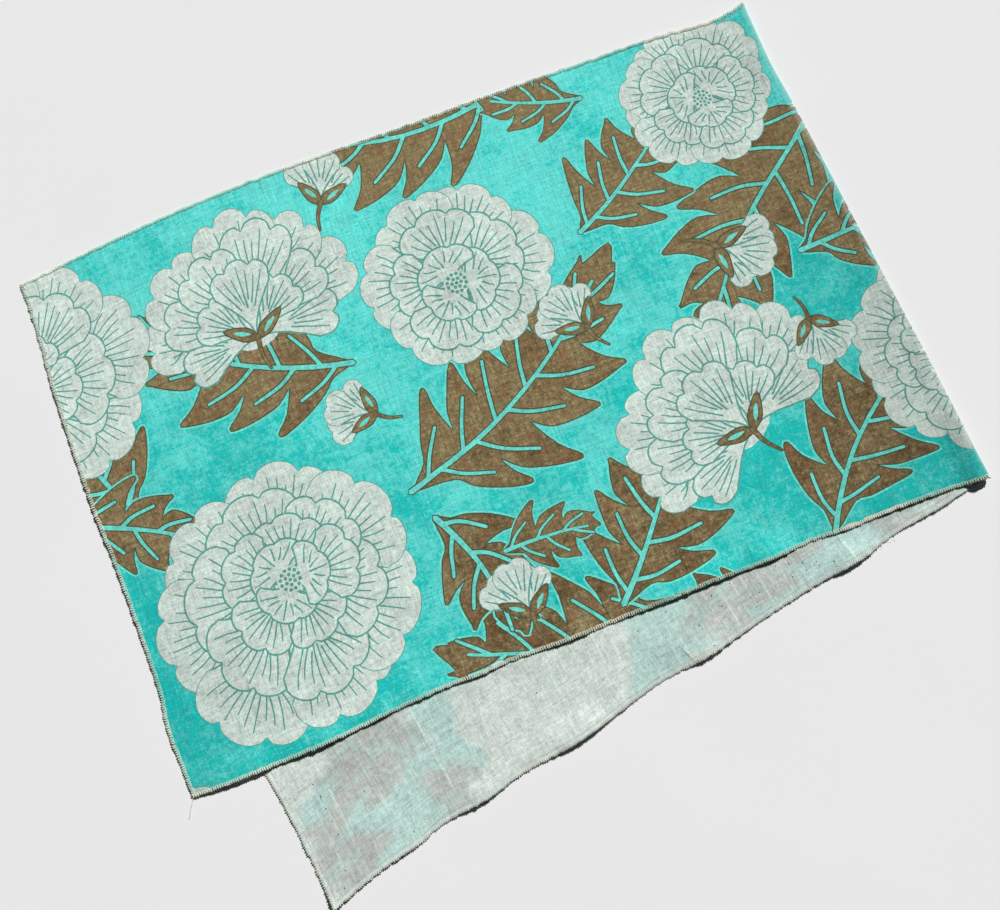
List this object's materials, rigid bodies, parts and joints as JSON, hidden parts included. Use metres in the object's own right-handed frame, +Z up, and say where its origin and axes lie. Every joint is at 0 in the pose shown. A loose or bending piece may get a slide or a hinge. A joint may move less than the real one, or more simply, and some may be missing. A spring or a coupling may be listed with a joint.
{
  "type": "folded tenugui hand towel",
  "caption": "Long cotton hand towel, folded once and laid flat: floral print face up, the wrong side of the lower layer showing as a wedge.",
  "frame": {"origin": "on the surface that the towel lies on, under the middle of its bounding box", "axes": "+X along the long edges of the upper stretch, from its free end to the fold; +Y across the cloth, towards its back edge; +Z up"},
  "size_m": [0.5242, 0.4416, 0.0084],
  "materials": {
    "printed_cotton": "matt printed plain weave",
    "cotton_wrong_side": "matt plain weave, print showing through faintly",
    "edging_thread": "matt spun thread"
  },
  "bodies": {
    "root": {"upper_stretch": "printed_cotton", "fold": "printed_cotton", "lower_stretch": "cotton_wrong_side"}
  },
  "joints": []
}
